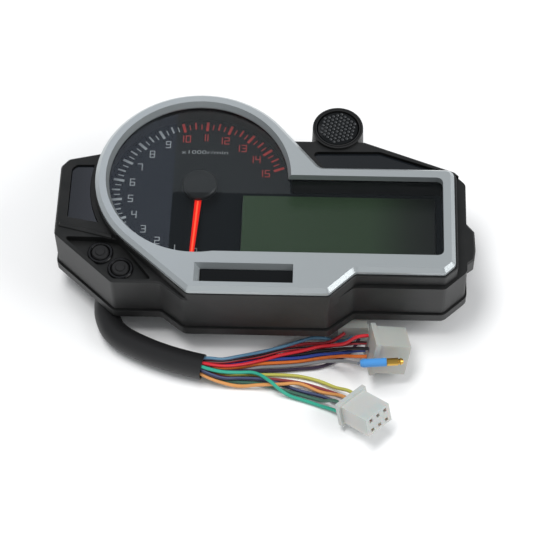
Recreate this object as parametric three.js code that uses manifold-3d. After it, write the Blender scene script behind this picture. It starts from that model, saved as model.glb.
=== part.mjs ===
// Motorcycle instrument cluster: a tachometer with a pointer, a liquid crystal display, two push buttons,
// a shift light and a wiring harness. Millimetres. The cluster lies on its back: +Z points out of the face,
// +Y is the top of the face, and Z = 0 is the surface that its three mounting bosses stand on.
import * as THREE from "three";
import { mergeVertices } from "three/addons/utils/BufferGeometryUtils.js";
import Module from "manifold-3d";

const wasm = await Module();
wasm.setup();

// ---- Driving dimensions ----
// The design frame has its origin at the centre of the round window, on the bezel face.
const FACE_HEIGHT = 54; // bezel face above the mounting bosses
const CENTRE_X = 34.2; // middle of the case, from the window's centre
const CENTRE_Y = -8.75;
const GAP = 0.3; // clearance between pieces that touch
const WALL = 2.4; // moulded wall
const THROUGH = 1; // a cutter runs this far past the face that it opens

// Heights from the bezel face, all at or below zero.
const BEZEL_UNDERSIDE = -4;
const BASE_TOP = -4.3; // raised base that carries the bezel
const LENS_UNDERSIDE = -6.3;
const WING_TOP = -9;
const LEDGE_TOP = -12;
const POCKET_FLOOR = -13;
const WINDOW_TOP = -10.2; // indicator windows in the two wings
const DIAL_TOP = -16.9;
const DIAL_UNDERSIDE = -17.9;
const LCD_TOP = -15;
const BOARD_TOP = -27.6;
const BOARD_UNDERSIDE = -29.2;
const HOUSING_REAR = -34;
const COVER_FRONT = -34.6;
const COVER_REAR = -40;
const HUMP_REAR = -53.2;

// Bezel and window.
const RING_OUTER = 53;
const WINDOW_RADIUS = 47.5;
const WINDOW_RIGHT = 125;
const WINDOW_TOP_EDGE = 1;
const WINDOW_BOTTOM_EDGE = -46.6;
const BEZEL_CHAMFER = 2;
const RING_STEPS = 40;

// Dial and pointer.
const DIAL_CENTRE = [0.3, 0.1];
const ZERO_ANGLE = 3; // degrees clockwise from straight down, where the pointer rests
const POINTER_LENGTH = 41;
const POINTER_TOP = -10.4;
const POINTER_UNDERSIDE = -11.6;
const SHAFT_TOP = -11.4;

// Push buttons: centres, and the travel that the switches allow.
const BUTTONS = [
  ["mode", -48.2, -40.9],
  ["set", -37.4, -50.2],
];
const COLLAR_RADIUS = 6.55;
const CAP_RADIUS = 4.4;

// Shift light, display and fixings.
const SHIFT_LIGHT = [71, 37.3];
const SHIFT_BOSS_RADIUS = 13.2;
const SHIFT_BOSS_TOP = -7.5;
const SHIFT_WELL_RADIUS = 12.2;
const LCD = { left: 22.7, right: 121.5, bottom: -44, top: -2 };
const REAR_SCREWS = [[-66.2, -24], [0, 45.9], [131.2, -5], [50, -63.9]];
const POST_RADIUS = 4;
const MOUNTS = [[-20, -28], [92, -28], [36, 8]];
const BOSS_RADIUS = 7;
const INSERT_RADIUS = 4.3;
const INSERT_BORE = 3; // M6

// Harness.
const SLEEVE_DIAMETER = 13;
const WIRE_DIAMETER = 1.8;
const TABLE = -FACE_HEIGHT;
const EXIT = [-46.7, -34, -46.8]; // where the harness passes the wall of the rear hump
const GROMMET_NECK = 3.4;
// Where each plug's open face is, and how the plug is turned: degrees about Z, then Y, then X.
const SIX_PIN = { at: [93.9, -119.5, -38.8], turn: [-42.3, -21.7, -7.8], length: 20.4 };
const NINE_PIN = { at: [107.1, -76.7, -43.1], turn: [5, 12.4, -20.6], length: 18.4 };
const BULLET_BASE = [83.9, -90.2, -33.7];
const BULLET_TIP = [106, -88.3, -33.9];
const PIN_PITCH = 4.8;
const ROW_PITCH = 5.8;
const FLANGE_LENGTH = 2.6;

// ---- Materials ----
function finish(color, roughness, metalness = 0) {
  return new THREE.MeshStandardMaterial({ color, roughness, metalness });
}
const satinSilver = finish(0xb4b9bb, 0.3, 0.7);
const blackCase = finish(0x2b2b2b, 0.6);
const blackGloss = finish(0x141619, 0.12);
const clearLens = new THREE.MeshStandardMaterial({
  color: 0xe8ecee, roughness: 0.05, transparent: true, opacity: 0.2,
});
const blackRubber = finish(0x1a1a1a, 0.8);
const dialBlack = finish(0x23262a, 0.5);
const pointerRed = finish(0xe8281c, 0.4);
const lcdGreen = finish(0x3d4b38, 0.25);
const milkWhite = finish(0xe6e7e4, 0.45);
const brass = finish(0xc9a24a, 0.3, 1);
const steel = finish(0xa8a8a8, 0.35, 1);
const boardGreen = finish(0x1e5a34, 0.5);

// ---- Solids and outlines ----
function toSolid(geometry) {
  const bare = geometry.index ? geometry.toNonIndexed() : geometry.clone();
  bare.deleteAttribute("normal");
  bare.deleteAttribute("uv");
  const merged = mergeVertices(bare, 1e-3);
  const vertProperties = merged.attributes.position.array;
  const triVerts = new Uint32Array(merged.index.array);
  return new wasm.Manifold(new wasm.Mesh({ numProp: 3, vertProperties, triVerts }));
}

function toGeometry(solid) {
  const mesh = solid.getMesh();
  const geometry = new THREE.BufferGeometry();
  geometry.setAttribute("position", new THREE.BufferAttribute(mesh.vertProperties, 3));
  geometry.setIndex(new THREE.BufferAttribute(mesh.triVerts, 1));
  return geometry;
}

function arc(x, y, radius, fromDegrees, toDegrees, steps) {
  const points = [];
  for (let i = 0; i <= steps; i++) {
    const angle = THREE.MathUtils.degToRad(fromDegrees + ((toDegrees - fromDegrees) * i) / steps);
    points.push([x + radius * Math.cos(angle), y + radius * Math.sin(angle)]);
  }
  return points;
}

// Closed outline through corners [x, y, radius]; a corner without a radius stays a point.
function rounded(corners, steps = 3) {
  const points = [];
  corners.forEach(([x, y, radius = 0], i) => {
    const corner = new THREE.Vector2(x, y);
    if (radius === 0) {
      points.push(corner);
      return;
    }
    const [bx, by] = corners.at(i - 1);
    const [ax, ay] = corners[(i + 1) % corners.length];
    const before = new THREE.Vector2(bx, by).sub(corner).normalize();
    const after = new THREE.Vector2(ax, ay).sub(corner).normalize();
    const half = Math.acos(before.dot(after)) / 2;
    const toCentre = before.clone().add(after).normalize();
    const centre = corner.clone().addScaledVector(toCentre, radius / Math.sin(half));
    const start = corner.clone().addScaledVector(before, radius / Math.tan(half)).sub(centre);
    const end = corner.clone().addScaledVector(after, radius / Math.tan(half)).sub(centre);
    const sweep = Math.atan2(start.cross(end), start.dot(end));
    for (let k = 0; k <= steps; k++) {
      const turned = start.clone().rotateAround(new THREE.Vector2(), (sweep * k) / steps);
      points.push(turned.add(centre));
    }
  });
  return points;
}

// The corners moved outwards by a distance (inwards when negative). They run anticlockwise, so a left
// turn is an outer corner, whose radius grows as the outline does, and a right turn an inner one.
function offset(corners, distance) {
  return corners.map(([x, y, radius = 0], i) => {
    const corner = new THREE.Vector2(x, y);
    const a = corner.clone().sub(new THREE.Vector2(...corners.at(i - 1).slice(0, 2))).normalize();
    const next = corners[(i + 1) % corners.length];
    const b = new THREE.Vector2(next[0], next[1]).sub(corner).normalize();
    const sideways = new THREE.Vector2(a.y + b.y, -a.x - b.x);
    corner.addScaledVector(sideways, distance / (1 + a.dot(b)));
    const change = a.cross(b) > 0 ? distance : -distance;
    return [corner.x, corner.y, radius > 0 ? Math.max(radius + change, 0) : 0];
  });
}

function prism(corners, bottom, top) {
  const shape = new THREE.Shape(rounded(corners));
  const geometry = new THREE.ExtrudeGeometry(shape, { depth: top - bottom, bevelEnabled: false });
  return toSolid(geometry.translate(0, 0, bottom));
}

// A prism whose top edge is cut back at 45 degrees.
function chamfered(corners, bottom, top, chamfer) {
  const geometry = new THREE.ExtrudeGeometry(new THREE.Shape(rounded(corners)), {
    depth: top - bottom,
    bevelSize: chamfer,
    bevelOffset: -chamfer,
    bevelThickness: chamfer,
    bevelSegments: 1,
  });
  const tall = toSolid(geometry.translate(0, 0, bottom - chamfer));
  const half = 400;
  return tall.subtract(block(-half, half, -half, half, bottom - 4 * chamfer, bottom));
}

function block(x0, x1, y0, y1, z0, z1) {
  const box = new THREE.BoxGeometry(x1 - x0, y1 - y0, z1 - z0);
  return toSolid(box.translate((x0 + x1) / 2, (y0 + y1) / 2, (z0 + z1) / 2));
}

function drum(x, y, bottom, top, radius, topRadius = radius, sides = 28) {
  const cylinder = new THREE.CylinderGeometry(topRadius, radius, top - bottom, sides);
  return toSolid(cylinder.rotateX(Math.PI / 2).translate(x, y, (bottom + top) / 2));
}

function tube(x, y, bottom, top, outer, inner, sides = 24) {
  const bore = drum(x, y, bottom - THROUGH, top + THROUGH, inner, inner, sides);
  return drum(x, y, bottom, top, outer, outer, sides).subtract(bore);
}

// A turned piece: profile points [radius, height] from the axis back to the axis.
function turned(profile, sides = 24) {
  const points = profile.map(([radius, height]) => new THREE.Vector2(radius, height));
  return toSolid(new THREE.LatheGeometry(points, sides).rotateX(Math.PI / 2));
}

function union(...solids) {
  return solids.reduce((sum, solid) => sum.add(solid));
}

// ---- Outlines, anticlockwise, in the design frame ----
// The bezel: a round ring on the left that runs into a long arm with stepped and slanted corners.
function bezelOutline(grow = 0, right = 0) {
  return [
    ...arc(0, 0, RING_OUTER + grow, 38.6, 226.9, RING_STEPS),
    [-2.5, -69.5 - grow, 3],
    [67.8 + grow, -69.5 - grow, 3],
    [81 + grow, -56.3 - grow - right / 2, 3],
    [125.5 + right / 2, -56.3 - grow - right / 2, 3],
    [130.8 + grow + right, -51 - right / 2, 3],
    [130.8 + grow + right, 7.1 + grow, 4],
    [62.2 + grow, 7.1 + grow, 4],
  ];
}

// The window: a circle joined to a long rectangle on its right.
function windowOutline(grow = 0) {
  const radius = WINDOW_RADIUS + grow;
  const top = WINDOW_TOP_EDGE + grow;
  const bottom = WINDOW_BOTTOM_EDGE - grow;
  const start = THREE.MathUtils.radToDeg(Math.asin(top / radius));
  const end = 360 + THREE.MathUtils.radToDeg(Math.asin(bottom / radius));
  return [
    ...arc(0, 0, radius, start, end, RING_STEPS),
    [WINDOW_RIGHT + grow, bottom, 3],
    [WINDOW_RIGHT + grow, top, 3],
  ];
}

// The case seen from the front, without the shift light's boss.
function bodyOutline() {
  return [
    ...arc(0, 0, RING_OUTER - 1, 35, 157, 18),
    [-68.5, 15.3, 3],
    [-72.3, 10.5, 3],
    [-72.3, -31.5, 2.5],
    [-41.3, -60.3, 3],
    [-17, -60.3, 4],
    [-5, -70, 4],
    [67.5, -70, 4],
    [80.5, -59.3, 4],
    [126, -59.3, 4],
    [137.3, -48.5, 4],
    [137.3, 5.5, 4],
    [131.5, 11.5, 2],
    [85, 29.7, 2],
    [48, 29.7],
  ];
}

// Recess for the left indicator window: its right side follows the ring.
function leftRecess() {
  return [
    [-66.5, 9, 3],
    [-66.5, -21.5, 1.5],
    ...arc(0, 0, 56, 206, 168, 8),
    [-64, 11.5, 2],
  ];
}

// Recess for the right indicator window: its left side follows the bezel's slanted edge.
function rightRecess() {
  return [
    [66.5, 9, 1],
    [127.5, 9, 0.8],
    [127, 11, 0.8],
    [93, 23.3, 3],
    [57, 22.6, 2],
  ];
}

function pocketOutline() {
  return [
    [-67.6, -33.4, 1],
    [-40.3, -58.5, 2],
    [-20.8, -58.5, 1],
    [-38.8, -35.6, 3],
    [-47.5, -33.6, 1],
  ];
}

function humpOutline() {
  return [
    [-58, -34, 2],
    [-34, -34, 2],
    [-30, -42, 3],
    [112, -42, 4],
    [112, 20, 4],
    [-58, 20, 4],
  ];
}

function piece(name, solid, material, parent) {
  const mesh = new THREE.Mesh(toGeometry(solid), material);
  mesh.name = name;
  parent.add(mesh);
}

// ---- Bezel, lens and inlays ----
function slotCutter() {
  const cutter = new THREE.BoxGeometry(1, 1, 1);
  const lower = { left: 3.6, right: 49.8, bottom: -64.7, top: -55.1 };
  const upper = { left: 0.5, right: 50, bottom: -64.8, top: -53.5 };
  const slope = BEZEL_UNDERSIDE - GAP;
  const position = cutter.attributes.position;
  for (let i = 0; i < position.count; i++) {
    const level = position.getZ(i) < 0 ? lower : upper;
    const x = position.getX(i) < 0 ? level.left : level.right;
    const y = position.getY(i) < 0 ? level.bottom : level.top;
    position.setXYZ(i, x, y, position.getZ(i) < 0 ? slope : GAP);
  }
  return toSolid(cutter);
}

function frontBezel() {
  const rimDepth = -3.3; // the ring's inner chamfer reaches this far down
  const plate = chamfered(bezelOutline(), BEZEL_UNDERSIDE, 0, BEZEL_CHAMFER);
  const bottom = BEZEL_UNDERSIDE - THROUGH;
  const throatRadius = WINDOW_RADIUS - 1.5;
  const flareTop = 2 * WINDOW_RADIUS - throatRadius;
  const throat = drum(0, 0, bottom, rimDepth + GAP, throatRadius, throatRadius, RING_STEPS * 2);
  const flare = drum(0, 0, rimDepth, -rimDepth, throatRadius, flareTop, RING_STEPS * 2);
  const slit = [
    [0, WINDOW_BOTTOM_EDGE],
    [WINDOW_RIGHT, WINDOW_BOTTOM_EDGE, 3],
    [WINDOW_RIGHT, WINDOW_TOP_EDGE, 3],
    [0, WINDOW_TOP_EDGE],
  ];
  const opening = union(throat, flare, prism(slit, bottom, THROUGH));
  return plate.subtract(opening).subtract(slotCutter());
}

function inlay(corners, top, thickness) {
  return prism(offset(corners, -GAP), top - thickness, top);
}

const badgeOutline = () => [
  [3.6, -64.7, 0.6], [49.8, -64.7, 0.6], [49.8, -55.1, 0.6], [3.6, -55.1, 0.6],
];

function buildFront(parent) {
  piece("front_bezel", frontBezel(), satinSilver, parent);
  piece("front_lens", prism(windowOutline(2.2), LENS_UNDERSIDE, BASE_TOP), clearLens, parent);
  piece("badge_inlay", inlay(badgeOutline(), -3.5, 2.4), blackGloss, parent);
  piece("left_indicator_window", inlay(leftRecess(), WINDOW_TOP, 2), blackGloss, parent);
  piece("right_indicator_window", inlay(rightRecess(), WINDOW_TOP - 0.5, 2), blackGloss, parent);
}

// ---- Case ----
// Bar along the lower edge of the left indicator window.
function windowRidge() {
  const bar = [[-70.3, -27.3], [-42.6, -34.4], [-42.2, -32.6], [-70.1, -25.2]];
  return chamfered(bar, WING_TOP - 1, WING_TOP + 1.2, 0.6);
}

function sideLug() {
  const plan = [
    [134, -46.5], [140.9, -40.9, 1], [141.7, -35.1, 1], [141.3, -23.7, 1], [137.2, -18.5], [134, -16],
  ];
  return chamfered(plan, LEDGE_TOP - 9, LEDGE_TOP, 0.8);
}

function frontHousing() {
  const body = bodyOutline();
  const base = bezelOutline(0.5, 0.9);
  const [lightX, lightY] = SHIFT_LIGHT;
  const ledgeCut = block(66, 150, -80, 9.2, LEDGE_TOP, 0);
  const outside = union(
    chamfered(body, HOUSING_REAR, WING_TOP, 0.8).subtract(ledgeCut),
    chamfered(base, LEDGE_TOP - 4, BASE_TOP, 0.3),
    drum(lightX, lightY, HOUSING_REAR, SHIFT_BOSS_TOP, SHIFT_BOSS_RADIUS + 0.8, SHIFT_BOSS_RADIUS, 48),
    sideLug(),
    windowRidge(),
  );
  const hollow = union(
    prism(offset(body, -WALL), HOUSING_REAR - THROUGH, LEDGE_TOP - WALL),
    prism(offset(body, -WALL), LEDGE_TOP - WALL - THROUGH, WING_TOP - WALL).subtract(
      block(64, 150, -80, 11.6, -20, 0),
    ),
    prism(offset(base, -WALL), LEDGE_TOP - WALL - THROUGH, BASE_TOP - 2 * WALL),
    drum(lightX, lightY, HOUSING_REAR - THROUGH, -15.5, 11.2, 11.2, 32),
  );
  const shell = outside.subtract(hollow);
  const floors = WING_TOP - 6.4;
  const filled = union(
    prism(offset(leftRecess(), 2), floors, WING_TOP - THROUGH),
    prism(offset(rightRecess(), 1.8), floors, WING_TOP - THROUGH),
    prism(offset(pocketOutline(), 1.4), POCKET_FLOOR - 2, WING_TOP - THROUGH),
    prism(windowOutline(2.2), DIAL_TOP + GAP, LENS_UNDERSIDE - 1),
    ...REAR_SCREWS.map(([x, y]) => drum(x, y, HOUSING_REAR, -19, POST_RADIUS, POST_RADIUS, 20)),
  ).intersect(outside);
  const cuts = union(
    prism(leftRecess(), WINDOW_TOP - 2.3, 0),
    prism(rightRecess(), WINDOW_TOP - 2.8, 0),
    prism(offset(leftRecess(), -2), floors - THROUGH, 0),
    prism([[69, 11], [112, 11], [92, 21], [61, 20.6]], floors - THROUGH, 0),
    prism(pocketOutline(), POCKET_FLOOR, 0),
    prism(windowOutline(2.5), LENS_UNDERSIDE - GAP, 0),
    prism(windowOutline(0.5), DIAL_TOP - THROUGH, 0),
    prism(offset(badgeOutline(), 0.2), -6.2, 0),
    drum(lightX, lightY, -13.5, 0, SHIFT_WELL_RADIUS, SHIFT_WELL_RADIUS, 48),
    drum(lightX, lightY, -16.5, 0, 9, 9, 32),
    ...BUTTONS.map(([, x, y]) => drum(x, y, POCKET_FLOOR - 3, 0, 5.6, 5.6, 24)),
    ...REAR_SCREWS.map(([x, y]) => drum(x, y, HOUSING_REAR - THROUGH, -22, 1.7, 1.7, 12)),
  );
  return shell.add(filled).subtract(cuts);
}

function rearCover() {
  const body = bodyOutline();
  const [exitX, exitY, exitZ] = EXIT;
  const outside = union(
    prism(offset(body, 1), COVER_REAR, COVER_FRONT),
    drum(...SHIFT_LIGHT, COVER_REAR, COVER_FRONT, SHIFT_BOSS_RADIUS + 1.8, SHIFT_BOSS_RADIUS + 1.8, 48),
    prism(humpOutline(), HUMP_REAR, COVER_REAR + THROUGH),
    ...MOUNTS.map(([x, y]) => drum(x, y, TABLE, HUMP_REAR + THROUGH, BOSS_RADIUS)),
  );
  const hollow = union(
    prism(offset(body, -3.2), COVER_REAR + WALL, COVER_FRONT + THROUGH),
    drum(...SHIFT_LIGHT, COVER_REAR + WALL, COVER_FRONT + THROUGH, 10, 10, 32),
    prism(offset(humpOutline(), -WALL), HUMP_REAR + WALL, COVER_REAR + WALL + THROUGH),
  );
  const groove = prism(offset(body, -0.3), -35.9, COVER_FRONT + THROUGH)
    .subtract(prism(offset(body, -2.2), -37, COVER_FRONT + 2 * THROUGH));
  const posts = union(
    ...MOUNTS.map(([x, y]) => drum(x, y, HUMP_REAR, -42.5, BOSS_RADIUS)),
    ...REAR_SCREWS.map(([x, y]) => drum(x, y, COVER_REAR, COVER_FRONT, POST_RADIUS, POST_RADIUS, 20)),
  );
  const neckHole = GROMMET_NECK + GAP;
  const exitHole = new THREE.CylinderGeometry(neckHole, neckHole, 8, 20);
  const holes = union(
    ...MOUNTS.map(([x, y]) => drum(x, y, TABLE - THROUGH, -43.6, INSERT_RADIUS + GAP)),
    ...REAR_SCREWS.map(([x, y]) => drum(x, y, TABLE, -37.4, 3.6, 3.6, 20)),
    ...REAR_SCREWS.map(([x, y]) => drum(x, y, TABLE, COVER_FRONT + THROUGH, 1.8, 1.8, 12)),
    toSolid(exitHole.translate(exitX, exitY, exitZ)),
  );
  return outside.subtract(hollow).subtract(groove).add(posts).subtract(holes);
}

function rearGasket() {
  const body = bodyOutline();
  const [gasketTop, gasketBottom] = [HOUSING_REAR - GAP, -35.6];
  return prism(offset(body, -0.6), gasketBottom, gasketTop)
    .subtract(prism(offset(body, -1.9), gasketBottom - THROUGH, gasketTop + THROUGH));
}

function rearScrew() {
  const screw = turned([
    [0, 0.3], [2.4, 0], [3.1, 0.7], [3.1, 2.2], [1.4, 2.2], [1.4, 14], [0, 15],
  ], 20);
  const recess = union(block(-1.8, 1.8, -0.4, 0.4, -1, 1.2), block(-0.4, 0.4, -1.8, 1.8, -1, 1.2));
  return screw.subtract(recess);
}

function buildCase(parent) {
  piece("front_housing", frontHousing(), blackCase, parent);
  piece("rear_cover", rearCover(), blackCase, parent);
  piece("rear_gasket", rearGasket(), blackRubber, parent);
  REAR_SCREWS.forEach(([x, y], i) => {
    const place = new THREE.Group();
    place.position.set(x, y, COVER_REAR + 0.1);
    parent.add(place);
    piece(`rear_screw_${i + 1}`, rearScrew(), steel, place);
  });
  MOUNTS.forEach(([x, y], i) => {
    const insert = tube(x, y, TABLE, -44, INSERT_RADIUS, INSERT_BORE, 24);
    piece(`mount_insert_${i + 1}`, insert, brass, parent);
  });
}

// ---- Tachometer ----
function pointerPlan(grow = 0) {
  const [hub, wide, narrow] = [5.5 + grow, 1.75 + grow, 1.15 + grow];
  const start = THREE.MathUtils.radToDeg(Math.asin(wide / hub));
  return [
    ...arc(0, 0, hub, -90 + start, 270 - start, 28),
    [-narrow, -POINTER_LENGTH - grow, 0.4],
    [narrow, -POINTER_LENGTH - grow, 0.4],
  ];
}

function buildTachometer(parent) {
  const [x, y] = DIAL_CENTRE;
  const dial = prism(windowOutline(1.6), DIAL_UNDERSIDE, DIAL_TOP)
    .subtract(drum(x, y, -20, -10, 2.6, 2.6, 24))
    .subtract(block(LCD.left - GAP, LCD.right + GAP, LCD.bottom - GAP, LCD.top + GAP, -20, -10));
  piece("dial_plate", dial, dialBlack, parent);

  const needle = new THREE.Group();
  needle.position.set(x, y, 0);
  needle.rotation.z = THREE.MathUtils.degToRad(-ZERO_ANGLE);
  parent.add(needle);
  const hubBoss = drum(0, 0, -15.4, POINTER_UNDERSIDE + 0.1, 1.9, 1.9, 20);
  const bore = drum(0, 0, -16, SHAFT_TOP + GAP, 1.05, 1.05, 16);
  const arm = prism(pointerPlan(), POINTER_UNDERSIDE, POINTER_TOP);
  const pointer = arm.add(hubBoss).subtract(bore);
  piece("pointer", pointer, pointerRed, needle);
  const cap = turned([
    [0, -12.8], [7.4, -12.8], [9, -10.2], [9, -8.2], [8.2, -7.4], [5, -7.1], [0, -7],
  ], 40);
  const seat = prism(pointerPlan(GAP), -16, POINTER_TOP + GAP);
  piece("pointer_hub_cap", cap.subtract(seat), blackCase, needle);
  piece("motor_shaft", drum(0, 0, -24, SHAFT_TOP, 0.75, 0.75, 12), steel, needle);

  const motor = union(
    drum(x, y, -27.2, -18.3, 13.5, 13.5, 40),
    block(x - 17, x + 17, y - 5, y + 5, -27.2, -25),
  ).subtract(drum(x, y, -24.4, -10, 1.05, 1.05, 16));
  piece("stepper_motor", motor, blackCase, parent);
}

// ---- Display and electronics ----
function mainBoard() {
  const plan = offset(bodyOutline(), -5);
  const clearances = REAR_SCREWS.map(([x, y]) => drum(x, y, -40, -20, 4.6, 4.6, 20));
  return prism(plan, BOARD_UNDERSIDE, BOARD_TOP).subtract(union(...clearances));
}

function shiftLightLens() {
  return turned([[0, -12.4], [10.9, -12.4], [10.9, -8.5], [10.4, -8], [6, -7.7], [0, -7.6]], 48);
}

function buildElectronics(parent) {
  const under = BOARD_UNDERSIDE - GAP;
  const display = block(LCD.left, LCD.right, LCD.bottom, LCD.top, -17.6, LCD_TOP);
  piece("lcd_panel", display, lcdGreen, parent);
  const light = block(LCD.left - 1.5, LCD.right + 1.5, LCD.bottom - 1.5, LCD.top + 1.5, -23, -18.2);
  piece("lcd_backlight", light, milkWhite, parent);
  piece("main_board", mainBoard(), boardGreen, parent);
  piece("microcontroller", block(24, 38, -27, -13, under - 1.6, under), blackCase, parent);
  const header = block(-53, -31, -12, -4, under - 8, under)
    .subtract(block(-51.5, -32.5, -10.5, -5.5, under - 8 - THROUGH, under - 2));
  piece("board_connector", header, milkWhite, parent);

  const [x, y] = SHIFT_LIGHT;
  const ring = tube(x, y, -13.2, SHIFT_BOSS_TOP + 0.1, SHIFT_WELL_RADIUS - GAP, 11.2, 48);
  piece("shift_light_ring", ring, blackCase, parent);
  const lensPlace = new THREE.Group();
  lensPlace.position.set(x, y, 0);
  parent.add(lensPlace);
  piece("shift_light_lens", shiftLightLens(), blackGloss, lensPlace);
  const led = union(
    drum(x, y, -16, -14.4, 8.4, 8.4, 28),
    drum(x, y, -14.6, -12.8, 2.5, 1.8, 16),
  );
  piece("shift_light_led", led, milkWhite, parent);
}

// ---- Push buttons ----
function buttonCap() {
  return turned([
    [0, -24.4], [1.6, -24.4], [1.6, -18], [5.1, -18], [5.1, -16.9], [CAP_RADIUS, -16.9],
    [CAP_RADIUS, -12], [3.9, -11.4], [2.5, -11.5], [2.2, -10.9], [0, -10.7],
  ]);
}

function buttonCollar() {
  return turned([
    [4.7, -16.5], [5.3, -16.5], [5.3, -12.7], [COLLAR_RADIUS, -12.7], [COLLAR_RADIUS, -12.2],
    [6.1, -11.8], [5.2, -11.8], [4.7, -12.3], [4.7, -16.5],
  ]);
}

function buildButton(name, x, y, parent) {
  const place = new THREE.Group();
  place.position.set(x, y, 0);
  parent.add(place);
  piece(`${name}_button`, buttonCap(), blackRubber, place);
  piece(`${name}_button_collar`, buttonCollar(), blackCase, place);
  piece(`${name}_button_seal`, tube(0, 0, -16.4, -15.3, 6.9, 5.6, 24), blackRubber, place);
  const body = block(-3, 3, -3, 3, BOARD_TOP + GAP, -25.2).subtract(drum(0, 0, -26.6, -20, 2, 2, 16));
  piece(`${name}_switch`, body, steel, place);
  piece(`${name}_switch_plunger`, drum(0, 0, -25.9, -24.7, 1.7, 1.7, 16), blackCase, place);
}

// ---- Harness ----
// The sleeve runs from its grommet out past the case and along the surface below.
const SLEEVE_ROUTE = [
  [-46.7, -41.6, -46.8], [-46.7, -44.5, -46.8], [-46.8, -50, -47.1], [-46.3, -56, -47.3],
  [-43.2, -64, -47.3], [-39.5, -68.3, -47.3], [-34.7, -71.7, -47.3], [-23.2, -77.4, -47.3],
  [-12.7, -81.4, -47.3], [-2.3, -84.4, -47.3], [4.8, -86.15, -47.3],
];

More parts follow.
